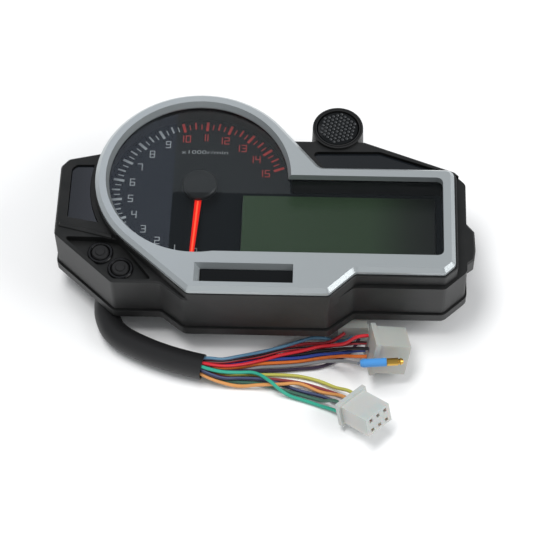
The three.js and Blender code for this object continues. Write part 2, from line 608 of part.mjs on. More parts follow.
// Each wire from the sleeve's mouth to its plug: colour, then steps along the wire, then its route.
const WIRES = {
  steel_blue: [0x5f86a0, 5, [
    [6.8, -82, -45.4], [14.5, -80.6, -48.5], [23.4, -77, -51], [33.5, -74.5, -51],
    [43.6, -71.4, -50.9], [53.8, -67.6, -50.6], [60, -65.6, -50.4], [66, -65.3, -51],
    [72, -66.2, -51.6], [77, -66.9, -50.4], [80.5, -65.8, -48],
  ]],
  black: [0x1c1c1e, 5, [
    [6.6, -83.1, -49.5], [14.5, -81.2, -51.6], [23.4, -78.1, -52.9], [33.5, -75.8, -52.9],
    [43.6, -75, -52.9], [53.8, -74, -52.9], [64, -71.9, -52.9], [70, -71.9, -51.6],
    [76.6, -74, -46.6], [82.6, -77.4, -40.6], [88.6, -78.3, -39],
  ]],
  navy: [0x2b3f86, 5, [
    [6.3, -84.2, -47.5], [14.5, -82.9, -50.5], [23.4, -80.3, -52.9], [33.5, -78.1, -52.9],
    [43.6, -77.2, -52.9], [53.8, -76.2, -52.9], [64, -74.1, -52.9], [70, -73.8, -52.4],
    [77, -74.4, -49.5], [82.4, -75.4, -46], [87, -75.6, -45.1],
  ]],
  orange: [0xd9743a, 5, [
    [6, -85.2, -49.5], [14.5, -84.7, -51.6], [23.4, -82.5, -52.9], [33.5, -80.3, -52.9],
    [43.6, -79.4, -52.9], [53.8, -78.4, -52.9], [64, -76.3, -52.9], [69.5, -75.9, -52],
    [76.6, -77.4, -48.2], [82.3, -79.8, -44.3], [87.8, -80.1, -43.5],
  ]],
  grey: [0x8f8f8c, 5, [
    [5.8, -86.3, -47.5], [14.5, -86.4, -50.5], [23.4, -84.7, -52.9], [33.5, -82.5, -52.9],
    [43.6, -81.6, -52.9], [53.9, -80.7, -52.4], [64.1, -79.8, -50.5], [71.8, -81.1, -47],
    [77.8, -84.3, -41.8], [80.7, -87.4, -37.5], [83.4, -90, -33.9],
  ]],
  olive: [0xb5b463, 5, [
    [5.5, -87.4, -49.5], [14.5, -88.1, -51.6], [23.4, -86.9, -52.9], [33.5, -86.8, -52.9],
    [43.6, -86.6, -52.9], [53.8, -87.2, -52.9], [64, -89.8, -52.9], [72, -94, -51.5],
    [78.6, -98.6, -46.5], [82.3, -102, -44.5],
  ]],
  brown: [0x8a3b3f, 5, [
    [5.3, -88.5, -47.5], [14.5, -89.8, -50.5], [23.4, -89.1, -52.9], [33.5, -89, -52.9],
    [43.6, -89.6, -52.9], [53.8, -91, -52.9], [64, -93.9, -52.9], [72, -96.8, -52.9],
    [79.5, -100.4, -51.9], [83.5, -104, -49.8],
  ]],
  slate_green: [0x3b5a50, 5, [
    [5, -89.5, -49.5], [14.5, -91.5, -51.6], [23.4, -91.3, -52.9], [33.5, -92, -52.9],
    [43.6, -95, -52.9], [53.8, -97.7, -52.9], [60, -99.6, -52.9], [66, -102, -51.5],
    [71.7, -105.2, -45.4], [75.6, -108.7, -43.3],
  ]],
  tan: [0xdc9a5c, 5, [
    [4.7, -90.6, -47.5], [14.5, -93.2, -50.5], [23.4, -94, -52.3], [33.5, -93.8, -51],
    [43.6, -93.6, -50.3], [53.8, -92.8, -50.7], [64, -96.1, -52.4], [70, -98.6, -50.4],
    [75.2, -102, -45.9], [79, -105.3, -43.9],
  ]],
  red_branch: [0xb8323a, 5, [
    [6.8, -82, -47.5], [14.5, -79.4, -50.5], [23.4, -75.9, -52.9], [33.5, -73.2, -52.9],
    [43.6, -70.6, -52.9], [53.8, -68.2, -52.9], [60, -67.6, -52.8], [66, -68.4, -50.9],
    [71, -68.3, -47.9], [76.6, -65.6, -45],
  ]],
  dark_red: [0x9c2b33, 5, [
    [6.3, -84.1, -45.4], [14.5, -82.4, -48.5], [23.4, -79.2, -51], [33.5, -76.9, -51],
    [43.6, -73.6, -50.9], [53.8, -70.8, -52.5], [64, -69.6, -52.9], [70, -69.8, -51],
    [76.7, -71.4, -46.8], [82.5, -74, -40.8], [87.6, -73.9, -40.7],
  ]],
  bright_red: [0xd42a36, 5, [
    [5.8, -86.3, -43.6], [14.5, -85.9, -46.4], [23.4, -83.4, -49], [33.5, -79.6, -50.9],
    [43.6, -76.1, -50.9], [53.8, -73.6, -50.6], [64, -70.8, -50.2], [70, -71.6, -47.5],
    [76.7, -73, -43], [82.8, -73, -36.4], [88.4, -72.1, -36.3],
  ]],
  violet_black: [0x2a2230, 5, [
    [5.5, -87.4, -45.4], [14.5, -87.6, -48.5], [23.4, -85.8, -51], [33.5, -84.7, -52.6],
    [43.6, -84, -52.9], [53.8, -82.9, -52.9], [64, -81.4, -52.9], [72, -77.6, -52.9],
    [80, -71.5, -52.9], [84, -65.6, -50],
  ]],
  teal: [0x43b09a, 10, [
    [5.3, -88.5, -43.6], [14.5, -89.4, -46], [23.4, -88, -48.8], [29.5, -87, -50.2],
    [33.5, -88.4, -49.9], [36.9, -91.2, -48.8], [40, -93.9, -48.2], [43.5, -96.6, -49.6],
    [49, -98.9, -52.3], [57, -101.4, -52.9], [65, -104.2, -52.9], [72.6, -107.6, -51.2],
    [76.6, -110.7, -48.6],
  ]],
  navy_stripe: [0x2d3350, 5, [
    [5, -89.6, -45.4], [14.5, -91.6, -48.5], [23.4, -90.2, -51], [33.5, -90.4, -51.1],
    [43.6, -91.7, -52.9], [53.8, -95.6, -52.9], [64, -98.2, -52.9], [70, -100.7, -52.6],
    [76.2, -104.2, -51.2], [80, -107.3, -49.2],
  ]],
};

function follow(route) {
  const points = route.map(([x, y, z]) => new THREE.Vector3(x, y, z));
  return new THREE.CatmullRomCurve3(points, false, "centripetal");
}

function cordSolid(route, diameter, sides, steps) {
  const section = new THREE.Shape(rounded(arc(0, 0, diameter / 2, 0, 360 - 360 / sides, sides - 1)));
  return toSolid(new THREE.ExtrudeGeometry(section, { steps, extrudePath: follow(route) }));
}

// A frame whose X axis is a plug's own axis, pointing out of its open face.
function plugFrame({ at, turn }, parent) {
  const frame = new THREE.Group();
  frame.position.set(...at);
  const [aboutZ, aboutY, aboutX] = turn.map(THREE.MathUtils.degToRad);
  frame.rotation.set(aboutX, aboutY, aboutZ, "ZYX");
  parent.add(frame);
  return frame;
}

// Square terminal holes in the open face, on a grid of three columns.
function terminalHoles(rows) {
  const holes = [];
  for (const column of [-PIN_PITCH, 0, PIN_PITCH]) {
    for (const row of rows) {
      holes.push(block(-6, THROUGH, column - 1, column + 1, row - 1, row + 1));
    }
  }
  return union(...holes);
}

function sixPinPlug({ length }) {
  const body = union(
    block(-length, 0, -8, 8, -5.2, 5.2),
    block(-length, FLANGE_LENGTH - length, -9.6, 9.6, -6.6, 6.6),
    block(4 - length, 8 - length, 7, 9.4, -2, 2),
  );
  return body.subtract(terminalHoles([-ROW_PITCH / 2, ROW_PITCH / 2]));
}

function ninePinPlug({ length }) {
  const body = union(
    block(-length, 0, -8.2, 8.2, -8.7, 8.7),
    block(-length, FLANGE_LENGTH - length, -9.2, 9.2, -9.7, 9.7),
  );
  return body.subtract(terminalHoles([-PIN_PITCH, 0, PIN_PITCH]));
}

// The bullet terminal at the end of the grey wire: an insulating sleeve and a brass pin with a round nose.
function buildBullet(parent) {
  const base = new THREE.Vector3(...BULLET_BASE);
  const tip = new THREE.Vector3(...BULLET_TIP);
  const place = new THREE.Group();
  place.position.copy(base);
  place.quaternion.setFromUnitVectors(new THREE.Vector3(0, 0, 1), tip.clone().sub(base).normalize());
  parent.add(place);
  const sleeve = turned([[0, 0.4], [1.6, 0.4], [2.2, 2], [2.2, 13.5], [0, 13.5]], 16);
  piece("bullet_sleeve", sleeve, finish(0x3b82c4, 0.4), place);
  const pin = turned([
    [0, 13.8], [2, 13.8], [2, 19.3], [1.5, 19.6], [1.5, 20.2], [1.9, 20.6], [1.2, 22], [0, 22.3],
  ], 16);
  piece("bullet_pin", pin, brass, place);
}

function buildHarness(parent) {
  const grommetPlace = new THREE.Group();
  grommetPlace.position.set(...EXIT);
  grommetPlace.rotation.x = Math.PI / 2;
  parent.add(grommetPlace);
  const grommet = turned([
    [0, -4.2], [3.9, -4.2], [3.9, -WALL - GAP], [GROMMET_NECK, -WALL - GAP], [GROMMET_NECK, GAP],
    [6.2, GAP], [5.6, 7.3], [0, 7.3],
  ]);
  piece("harness_grommet", grommet, blackRubber, grommetPlace);
  piece("harness_sleeve", cordSolid(SLEEVE_ROUTE, SLEEVE_DIAMETER, 12, 8), blackRubber, parent);
  for (const [name, [colour, steps, route]] of Object.entries(WIRES)) {
    piece(`wire_${name}`, cordSolid(route, WIRE_DIAMETER, 8, steps), finish(colour, 0.45), parent);
  }
  piece("six_pin_plug", sixPinPlug(SIX_PIN), milkWhite, plugFrame(SIX_PIN, parent));
  piece("nine_pin_plug", ninePinPlug(NINE_PIN), milkWhite, plugFrame(NINE_PIN, parent));
  const rearPlug = union(
    block(74, 87.5, -64.6, -47, TABLE, -42.2),
    block(73, 88.5, -64.6, -62, TABLE, -41.4),
  );
  piece("rear_plug", rearPlug, milkWhite, parent);
  buildBullet(parent);
}

const cluster = new THREE.Group();
const design = new THREE.Group();
design.position.set(-CENTRE_X, -CENTRE_Y, FACE_HEIGHT);
cluster.add(design);
buildFront(design);
buildCase(design);
buildTachometer(design);
buildElectronics(design);
BUTTONS.forEach(([name, x, y]) => buildButton(name, x, y, design));
buildHarness(design);

export default cluster;
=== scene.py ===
"""Looks of a motorcycle instrument cluster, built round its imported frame.

Lengths are millimetres in the design frame of the cluster, unless a comment says metres. Its origin
is the centre of the round window on the bezel's face, X to the right, Y to the top of the face, and
Z out of the face.
"""

import math

import bmesh
import bpy
from mathutils import Matrix, Vector


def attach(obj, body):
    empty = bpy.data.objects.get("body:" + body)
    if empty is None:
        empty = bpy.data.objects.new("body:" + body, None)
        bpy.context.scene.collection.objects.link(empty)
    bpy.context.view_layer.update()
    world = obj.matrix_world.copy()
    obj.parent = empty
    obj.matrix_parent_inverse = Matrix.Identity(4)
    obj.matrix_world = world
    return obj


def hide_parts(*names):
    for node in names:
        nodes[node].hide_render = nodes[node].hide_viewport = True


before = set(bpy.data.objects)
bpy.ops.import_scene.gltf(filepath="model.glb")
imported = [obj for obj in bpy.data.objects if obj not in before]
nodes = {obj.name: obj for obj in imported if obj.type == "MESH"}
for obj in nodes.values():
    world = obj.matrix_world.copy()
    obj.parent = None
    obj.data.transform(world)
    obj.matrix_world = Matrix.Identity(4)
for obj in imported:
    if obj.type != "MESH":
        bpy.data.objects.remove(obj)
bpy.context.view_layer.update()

MM = 0.001
ORIGIN = Vector((-34.2, 8.75, 54))  # of the design frame, in the row frame
METRES = Matrix.Diagonal((MM, MM, MM, 1)) @ Matrix.Translation(ORIGIN)
CASE = "case"
NEEDLE = "needle"


def at(x, y, z):
    """A point of the design frame, in metres in the row frame."""
    return (Vector((x, y, z)) + ORIGIN) * MM


# ---- Camera, at the viewing angle wanted ----
camera_data = bpy.data.cameras.new("camera")
camera_data.lens = 140.9
camera_data.sensor_width = 36
camera_data.clip_start = 0.05
camera = bpy.data.objects.new("camera", camera_data)
bpy.context.scene.collection.objects.link(camera)
bpy.context.scene.camera = camera
CAMERA_SPOT = (68.09, -625.28, 864.87)
AZIMUTH, ELEVATION, ROLL = map(math.radians, (3.15, 56.58, -1.5))
turn = (
    Matrix.Rotation(AZIMUTH, 4, "Z")
    @ Matrix.Rotation(math.pi / 2 - ELEVATION, 4, "X")
    @ Matrix.Rotation(ROLL, 4, "Z")
)
camera.matrix_world = Matrix.Translation(at(*CAMERA_SPOT)) @ turn


# ---- Materials ----
def shader(name, colour, roughness, metallic=0.0, **inputs):
    """A Principled material with constant values on its own sockets."""
    made = bpy.data.materials.new(name)
    made.use_nodes = True
    node = made.node_tree.nodes["Principled BSDF"]
    node.inputs["Base Color"].default_value = (*colour, 1)
    node.inputs["Roughness"].default_value = roughness
    node.inputs["Metallic"].default_value = metallic
    for key, value in inputs.items():
        node.inputs[key.replace("_", " ")].default_value = value
    return made


def grain(made, scale, height):
    """Fine moulded or painted texture: noise drives the normal, by a height in metres."""
    tree = made.node_tree
    place = tree.nodes.new("ShaderNodeTexCoord")
    noise = tree.nodes.new("ShaderNodeTexNoise")
    noise.inputs["Scale"].default_value = scale
    noise.inputs["Detail"].default_value = 2.0
    bump = tree.nodes.new("ShaderNodeBump")
    bump.inputs["Strength"].default_value = 1.0
    bump.inputs["Distance"].default_value = height
    tree.links.new(place.outputs["Object"], noise.inputs["Vector"])
    tree.links.new(noise.outputs["Fac"], bump.inputs["Height"])
    shade = tree.nodes["Principled BSDF"]
    tree.links.new(bump.outputs["Normal"], shade.inputs["Normal"])
    return made


def mottle(made, scale, dark, light):
    """Slow change of colour over the surface."""
    tree = made.node_tree
    place = tree.nodes.new("ShaderNodeTexCoord")
    noise = tree.nodes.new("ShaderNodeTexNoise")
    noise.inputs["Scale"].default_value = scale
    noise.inputs["Detail"].default_value = 3.0
    ramp = tree.nodes.new("ShaderNodeValToRGB")
    ramp.color_ramp.elements[0].position = 0.35
    ramp.color_ramp.elements[0].color = (*dark, 1)
    ramp.color_ramp.elements[1].position = 0.65
    ramp.color_ramp.elements[1].color = (*light, 1)
    tree.links.new(place.outputs["Object"], noise.inputs["Vector"])
    tree.links.new(noise.outputs["Fac"], ramp.inputs["Fac"])
    shade = tree.nodes["Principled BSDF"]
    tree.links.new(ramp.outputs["Color"], shade.inputs["Base Color"])
    return made


def linear(hex_colour):
    """Linear red, green and blue of a display colour such as "b4b9bb"."""
    channels = [int(hex_colour[i:i + 2], 16) / 255 for i in (0, 2, 4)]
    return tuple(c / 12.92 if c < 0.04 else ((c + 0.055) / 1.055) ** 2.4 for c in channels)


silver = grain(shader("bezel_silver", linear("b5bbbd"), 0.28, 0.6), 900, 0.00002)
case_black = grain(
    mottle(shader("case_black", linear("191a1a"), 0.46), 90, linear("151616"), linear("1d1d1d")),
    1400, 0.00006,
)
gloss_black = shader("gloss_black", linear("0b0d0f"), 0.08, Specular_IOR_Level=0.25)
smoked = shader("smoked_window", linear("14171b"), 0.15, Specular_IOR_Level=0.5)
pip_black = shader("pip_black", linear("2b2d2f"), 0.18, Coat_Weight=0.5)
rubber = grain(shader("rubber_black", linear("202021"), 0.62), 700, 0.00005)
vinyl = grain(shader("vinyl_sleeve", linear("1d1d1e"), 0.48), 260, 0.00008)
dial_face = shader("dial_black", linear("15181b"), 0.8, Specular_IOR_Level=0)
key_black = shader("key_black", linear("0c0c0d"), 0.25, Specular_IOR_Level=0.35)
hub_black = shader("hub_black", linear("131416"), 0.4, Specular_IOR_Level=0.3)
print_white = shader("print_white", linear("9a9ea1"), 0.6)
print_red = shader("print_red", linear("a62b29"), 0.6)
pointer_red = shader("pointer_red", linear("e81808"), 0.45, Specular_IOR_Level=0.2)
pointer_line_glowing = shader("pointer_line_glowing", linear("ff5a3a"), 0.5, Specular_IOR_Level=0.2)
# The emission on the pointer and its line is a painted glow: the pointer holds no lamp.
for glowing, power in ((pointer_red, 0.25), (pointer_line_glowing, 0.4)):
    glow = glowing.node_tree.nodes["Principled BSDF"].inputs
    glow["Emission Color"].default_value = glow["Base Color"].default_value
    glow["Emission Strength"].default_value = power
nylon = grain(
    shader("white_nylon", linear("bfc2bf"), 0.34, Subsurface_Weight=0.15), 300, 0.00003,
)
# A darker grey nylon for the nine-pin and rear plugs.
darker_nylon = grain(
    shader("darker_grey_nylon", linear("abada8"), 0.34, Subsurface_Weight=0.15), 300, 0.00003,
)
brass = shader("brass", linear("d2a954"), 0.28, 1.0)
steel = shader("steel", linear("b4b4b2"), 0.3, 1.0)
board = shader("board_green", linear("1e5a34"), 0.45)
bullet_blue = shader("bullet_blue", linear("4a90d2"), 0.35)


LCD_LEFT, LCD_RIGHT = 22.7, 121.5
# Colour stops along the display: its dark green, then painted shade towards the right end.
LCD_SHADED_STOPS = ((0.0, "2a3c27"), (0.66, "273824"), (0.86, "161e14"), (1.0, "0c0f0c"))


def display_glass():
    """The display when it is off: dark green, darkened towards its right end by painted shade."""
    made = shader("lcd_glass", linear("36443a"), 0.3)
    tree = made.node_tree
    place = tree.nodes.new("ShaderNodeTexCoord")
    split = tree.nodes.new("ShaderNodeSeparateXYZ")
    span = tree.nodes.new("ShaderNodeMapRange")
    span.inputs["From Min"].default_value = at(LCD_LEFT, 0, 0).x
    span.inputs["From Max"].default_value = at(LCD_RIGHT, 0, 0).x
    ramp = tree.nodes.new("ShaderNodeValToRGB")
    ramp.color_ramp.elements.remove(ramp.color_ramp.elements[1])
    for spot, colour in LCD_SHADED_STOPS:
        stop = ramp.color_ramp.elements.new(spot) if spot else ramp.color_ramp.elements[0]
        stop.color = (*linear(colour), 1)
    tree.links.new(place.outputs["Object"], split.inputs["Vector"])
    tree.links.new(split.outputs["X"], span.inputs["Value"])
    tree.links.new(span.outputs["Result"], ramp.inputs["Fac"])
    shade = tree.nodes["Principled BSDF"]
    tree.links.new(ramp.outputs["Color"], shade.inputs["Base Color"])
    return made


LENS_INDEX = 1.9
LENS_TINT = (0.97, 0.98, 0.98, 1)
MIRROR_TINT = (0.24, 0.26, 0.27, 1)


def clear_lens():
    """Thin clear cover: see-through, with a mirror's share by angle on its outer side."""
    made = bpy.data.materials.new("clear_lens")
    made.use_nodes = True
    tree = made.node_tree
    tree.nodes.clear()
    output = tree.nodes.new("ShaderNodeOutputMaterial")
    mix = tree.nodes.new("ShaderNodeMixShader")
    fresnel = tree.nodes.new("ShaderNodeFresnel")
    fresnel.inputs["IOR"].default_value = LENS_INDEX
    through = tree.nodes.new("ShaderNodeBsdfTransparent")
    through.inputs["Color"].default_value = LENS_TINT
    mirror = tree.nodes.new("ShaderNodeBsdfAnisotropic")
    mirror.inputs["Roughness"].default_value = 0
    mirror.inputs["Color"].default_value = MIRROR_TINT
    side = tree.nodes.new("ShaderNodeNewGeometry")
    outside = tree.nodes.new("ShaderNodeMath")
    outside.operation = "SUBTRACT"
    outside.inputs[0].default_value = 1
    tree.links.new(side.outputs["Backfacing"], outside.inputs[1])
    share = tree.nodes.new("ShaderNodeMath")
    share.operation = "MULTIPLY"
    tree.links.new(fresnel.outputs["Fac"], share.inputs[0])
    tree.links.new(outside.outputs["Value"], share.inputs[1])
    tree.links.new(share.outputs["Value"], mix.inputs["Fac"])
    tree.links.new(through.outputs["BSDF"], mix.inputs[1])
    tree.links.new(mirror.outputs["BSDF"], mix.inputs[2])
    tree.links.new(mix.outputs["Shader"], output.inputs["Surface"])
    return made


lcd_glass = display_glass()
lens_clear = clear_lens()


# ---- Making pieces ----
def add(name, mesh, materials, body=CASE, smooth=35):
    """A new piece in the row frame, riding on a body, smooth where its faces meet gently."""
    piece = bpy.data.objects.new(name, mesh)
    bpy.context.scene.collection.objects.link(piece)
    for material in materials if isinstance(materials, list) else [materials]:
        mesh.materials.append(material)
    if smooth:
        mesh.shade_smooth()
        mesh.set_sharp_from_angle(angle=math.radians(smooth))
    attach(piece, body)
    return piece


def joined(name, parts):
    """One mesh from several bmesh objects."""
    whole = bmesh.new()
    for part in parts:
        spare = bpy.data.meshes.new("spare")
        part.to_mesh(spare)
        whole.from_mesh(spare)
        bpy.data.meshes.remove(spare)
        part.free()
    mesh = bpy.data.meshes.new(name)
    whole.to_mesh(mesh)
    whole.free()
    return mesh


def box(x0, x1, y0, y1, z0, z1, place):
    made = bmesh.new()
    bmesh.ops.create_cube(made, size=1)
    size = Matrix.Diagonal((x1 - x0, y1 - y0, z1 - z0, 1))
    middle = Matrix.Translation(((x0 + x1) / 2, (y0 + y1) / 2, (z0 + z1) / 2))
    made.transform(middle @ size)
    made.transform(METRES @ place)
    return made


def lathe(profile, place, sides):
    """A turned solid from [radius, height] points, the first and last of them on the axis."""
    made = bmesh.new()
    rings = []
    for radius, height in profile:
        if radius == 0:
            rings.append([made.verts.new((0, 0, height))])
            continue
        rings.append([
            made.verts.new((
                radius * math.cos(2 * math.pi * k / sides),
                radius * math.sin(2 * math.pi * k / sides),
                height,
            ))
            for k in range(sides)
        ])
    for low, high in zip(rings, rings[1:]):
        for k in range(sides):
            j = (k + 1) % sides
            if len(low) == 1:
                made.faces.new((low[0], high[j], high[k]))
            elif len(high) == 1:
                made.faces.new((low[k], low[j], high[0]))
            else:
                made.faces.new((low[k], low[j], high[j], high[k]))
    bmesh.ops.recalc_face_normals(made, faces=made.faces[:])
    made.transform(METRES @ place)
    return made


def shift(x, y, z):
    return Matrix.Translation((x, y, z))


# ---- Harness: routes in millimetres, in the design frame ----
SLEEVE_ROUTE = [
    (-46.7, -41.6, -46.8), (-46.7, -44.5, -46.8), (-46.8, -50, -47.1), (-46.3, -56, -47.3),
    (-43.2, -64, -47.3), (-39.5, -68.3, -47.3), (-34.7, -71.7, -47.3), (-23.2, -77.4, -47.3),
    (-12.7, -81.4, -47.3), (-2.3, -84.4, -47.3), (4.8, -86.15, -47.3),
]
SLEEVE_DIAMETER = 13
SLEEVE_BORE = 5.6  # radius
SLEEVE_SIDES, WIRE_SIDES = 32, 12
WIRE_DIAMETER = 1.8
WIRE_ROOT = (-4.5, -83.8)  # the wires run on towards this place inside the sleeve
WIRE_ROUGHNESS = 0.36
BORE_RINGS = 14  # of the sleeve's rings, counted from the mouth, reach the bottom of its bore

# Wire: insulation colour, tracer stripe or None, plug, then its route.
WIRES = {
    "steel_blue": ("5b87a3", None, "rear", [
        (6.8, -82, -45.4), (14.5, -80.6, -48.5), (23.4, -77, -51), (33.5, -74.5, -51),
        (43.6, -71.4, -50.9), (53.8, -67.6, -50.6), (60, -65.6, -50.4), (66, -65.3, -51),
        (72, -66.2, -51.6), (77, -66.9, -50.4), (80.5, -65.8, -48),
    ]),
    "black": ("1c1c1e", None, "nine", [
        (6.6, -83.1, -49.5), (14.5, -81.2, -51.6), (23.4, -78.1, -52.9), (33.5, -75.8, -52.9),
        (43.6, -75, -52.9), (53.8, -74, -52.9), (64, -71.9, -52.9), (70, -71.9, -51.6),
        (76.6, -74, -46.6), (82.6, -77.4, -40.6), (88.6, -78.3, -39),
    ]),
    "navy": ("2f4596", None, "nine", [
        (6.3, -84.2, -47.5), (14.5, -82.9, -50.5), (23.4, -80.3, -52.9), (33.5, -78.1, -52.9),
        (43.6, -77.2, -52.9), (53.8, -76.2, -52.9), (64, -74.1, -52.9), (70, -73.8, -52.4),
        (77, -74.4, -49.5), (82.4, -75.4, -46), (87, -75.6, -45.1),
    ]),
    "orange": ("d9712f", None, "nine", [
        (6, -85.2, -49.5), (14.5, -84.7, -51.6), (23.4, -82.5, -52.9), (33.5, -80.3, -52.9),
        (43.6, -79.4, -52.9), (53.8, -78.4, -52.9), (64, -76.3, -52.9), (69.5, -75.9, -52),
        (76.6, -77.4, -48.2), (82.3, -79.8, -44.3), (87.8, -80.1, -43.5),
    ]),
    "grey": ("85878a", None, "bullet", [
        (5.8, -86.3, -47.5), (14.5, -86.4, -50.5), (23.4, -84.7, -52.9), (33.5, -82.5, -52.9),
        (43.6, -81.6, -52.9), (53.9, -80.7, -52.4), (64.1, -79.8, -50.5), (71.8, -81.1, -47),
        (77.8, -84.3, -41.8), (80.7, -87.4, -37.5), (83.4, -90, -33.9),
    ]),
    "olive": ("c2c05f", None, "six", [
        (5.5, -87.4, -49.5), (14.5, -88.1, -51.6), (23.4, -86.9, -52.9), (33.5, -86.8, -52.9),
        (43.6, -86.6, -52.9), (53.8, -87.2, -52.9), (64, -89.8, -52.9), (72, -94, -51.5),
        (78.6, -98.6, -46.5), (82.3, -102, -44.5),
    ]),
    "brown": ("8f4044", None, "six", [
        (5.3, -88.5, -47.5), (14.5, -89.8, -50.5), (23.4, -89.1, -52.9), (33.5, -89, -52.9),
        (43.6, -89.6, -52.9), (53.8, -91, -52.9), (64, -93.9, -52.9), (72, -96.8, -52.9),
        (79.5, -100.4, -51.9), (83.5, -104, -49.8),
    ]),
    "slate_green": ("446a5c", None, "six", [
        (5, -89.5, -49.5), (14.5, -91.5, -51.6), (23.4, -91.3, -52.9), (33.5, -92, -52.9),
        (43.6, -95, -52.9), (53.8, -97.7, -52.9), (60, -99.6, -52.9), (66, -102, -51.5),
        (71.7, -105.2, -45.4), (75.6, -108.7, -43.3),
    ]),
    "tan": ("d8985a", None, "six", [
        (4.7, -90.6, -47.5), (14.5, -93.2, -50.5), (23.4, -94, -52.3), (33.5, -93.8, -51),
        (43.6, -93.6, -50.3), (53.8, -92.8, -50.7), (64, -96.1, -52.4), (70, -98.6, -50.4),
        (75.2, -102, -45.9), (79, -105.3, -43.9),
    ]),
    "red_branch": ("b3323a", None, "rear", [
        (6.8, -82, -47.5), (14.5, -79.4, -50.5), (23.4, -75.9, -52.9), (33.5, -73.2, -52.9),
        (43.6, -70.6, -52.9), (53.8, -68.2, -52.9), (60, -67.6, -52.8), (66, -68.4, -50.9),
        (71, -68.3, -47.9), (76.6, -65.6, -45),
    ]),
    "dark_red": ("a22f37", "1a1a1a", "nine", [
        (6.3, -84.1, -45.4), (14.5, -82.4, -48.5), (23.4, -79.2, -51), (33.5, -76.9, -51),
        (43.6, -73.6, -50.9), (53.8, -70.8, -52.5), (64, -69.6, -52.9), (70, -69.8, -51),
        (76.7, -71.4, -46.8), (82.5, -74, -40.8), (87.6, -73.9, -40.7),
    ]),
    "bright_red": ("d22a35", None, "nine", [
        (5.8, -86.3, -43.6), (14.5, -85.9, -46.4), (23.4, -83.4, -49), (33.5, -79.6, -50.9),
        (43.6, -76.1, -50.9), (53.8, -73.6, -50.6), (64, -70.8, -50.2), (70, -71.6, -47.5),
        (76.7, -73, -43), (82.8, -73, -36.4), (88.4, -72.1, -36.3),
    ]),
    "violet_black": ("33283d", None, "rear", [
        (5.5, -87.4, -45.4), (14.5, -87.6, -48.5), (23.4, -85.8, -51), (33.5, -84.7, -52.6),
        (43.6, -84, -52.9), (53.8, -82.9, -52.9), (64, -81.4, -52.9), (72, -77.6, -52.9),
        (80, -71.5, -52.9), (84, -65.6, -50),
    ]),
    "teal": ("35a78d", None, "six", [
        (5.3, -88.5, -43.6), (14.5, -89.4, -46), (23.4, -88, -48.8), (29.5, -87, -50.2),
        (33.5, -88.4, -49.9), (36.9, -91.2, -48.8), (40, -93.9, -48.2), (43.5, -96.6, -49.6),
        (49, -98.9, -52.3), (57, -101.4, -52.9), (65, -104.2, -52.9), (72.6, -107.6, -51.2),
        (76.6, -110.7, -48.6),
    ]),
    "navy_stripe": ("2b3152", "4d5674", "six", [
        (5, -89.6, -45.4), (14.5, -91.6, -48.5), (23.4, -90.2, -51), (33.5, -90.4, -51.1),
        (43.6, -91.7, -52.9), (53.8, -95.6, -52.9), (64, -98.2, -52.9), (70, -100.7, -52.6),
        (76.2, -104.2, -51.2), (80, -107.3, -49.2),
    ]),
}


def spline(route, per_span=6):
    """Points of the centripetal curve through a route."""
    points = [Vector(p) for p in route]
    points = [2 * points[0] - points[1], *points, 2 * points[-1] - points[-2]]
    line = []
    for p0, p1, p2, p3 in zip(points, points[1:], points[2:], points[3:]):
        knots = [0.0]
        for a, b in ((p0, p1), (p1, p2), (p2, p3)):
            knots.append(knots[-1] + math.sqrt((b - a).length))
        for k in range(per_span):
            t = knots[1] + (knots[2] - knots[1]) * k / per_span
            line.append(blend(p0, p1, p2, p3, knots, t))
    return [*line, points[-2]]


def blend(p0, p1, p2, p3, knots, t):
    """The curve's point between p1 and p2 at t."""
    t0, t1, t2, t3 = knots

    def between(a, b, ta, tb):
        return a.lerp(b, (t - ta) / (tb - ta))

    a1, a2, a3 = between(p0, p1, t0, t1), between(p1, p2, t1, t2), between(p2, p3, t2, t3)
    b1, b2 = between(a1, a2, t0, t2), between(a2, a3, t1, t3)
    return between(b1, b2, t1, t2)


def rings_along(line, sections, sides):
    """Rings of points round a line. sections are radii, one ring of vertices for each per point."""
    up = Vector((0, 0, 1))
    rings = []
    for i, point in enumerate(line):
        ahead = (line[min(i + 1, len(line) - 1)] - line[max(i - 1, 0)]).normalized()
        side = ahead.cross(up).normalized()
        over = side.cross(ahead)
        rings.append([
            [
                point + side * (r * math.cos(2 * math.pi * k / sides))
                + over * (r * math.sin(2 * math.pi * k / sides))
                for k in range(sides)
            ]
            for r in sections
        ])
    return rings


def cord_mesh(name, line, radius, sides, tracer=False, bore=0.0):
    """A closed tube along a line. With a tracer its top faces take the second material."""
    made = bmesh.new()
    rings = [
        [made.verts.new(p * MM) for p in ring[0]] for ring in rings_along(line, [radius], sides)
    ]
    top = sides // 4
    for low, high in zip(rings, rings[1:]):
        for k in range(sides):
            face = made.faces.new((low[k], low[(k + 1) % sides], high[(k + 1) % sides], high[k]))
            if tracer and k in (top - 1, top):
                face.material_index = 1
    made.faces.new(rings[0][::-1])
    if bore:
        inside = rings_along(line, [bore], sides)
        mouth = [made.verts.new(p * MM) for p in inside[-1][0]]
        depth = [made.verts.new(p * MM) for p in inside[-BORE_RINGS][0]]
        for k in range(sides):
            j = (k + 1) % sides
            made.faces.new((rings[-1][k], rings[-1][j], mouth[j], mouth[k]))
            made.faces.new((mouth[k], mouth[j], depth[j], depth[k]))
        made.faces.new(depth)
    else:
        made.faces.new(rings[-1])
    bmesh.ops.recalc_face_normals(made, faces=made.faces[:])
    mesh = bpy.data.meshes.new(name)
    made.to_mesh(mesh)
    made.free()
    return mesh


def length_of(line):
    return sum((b - a).length for a, b in zip(line, line[1:]))


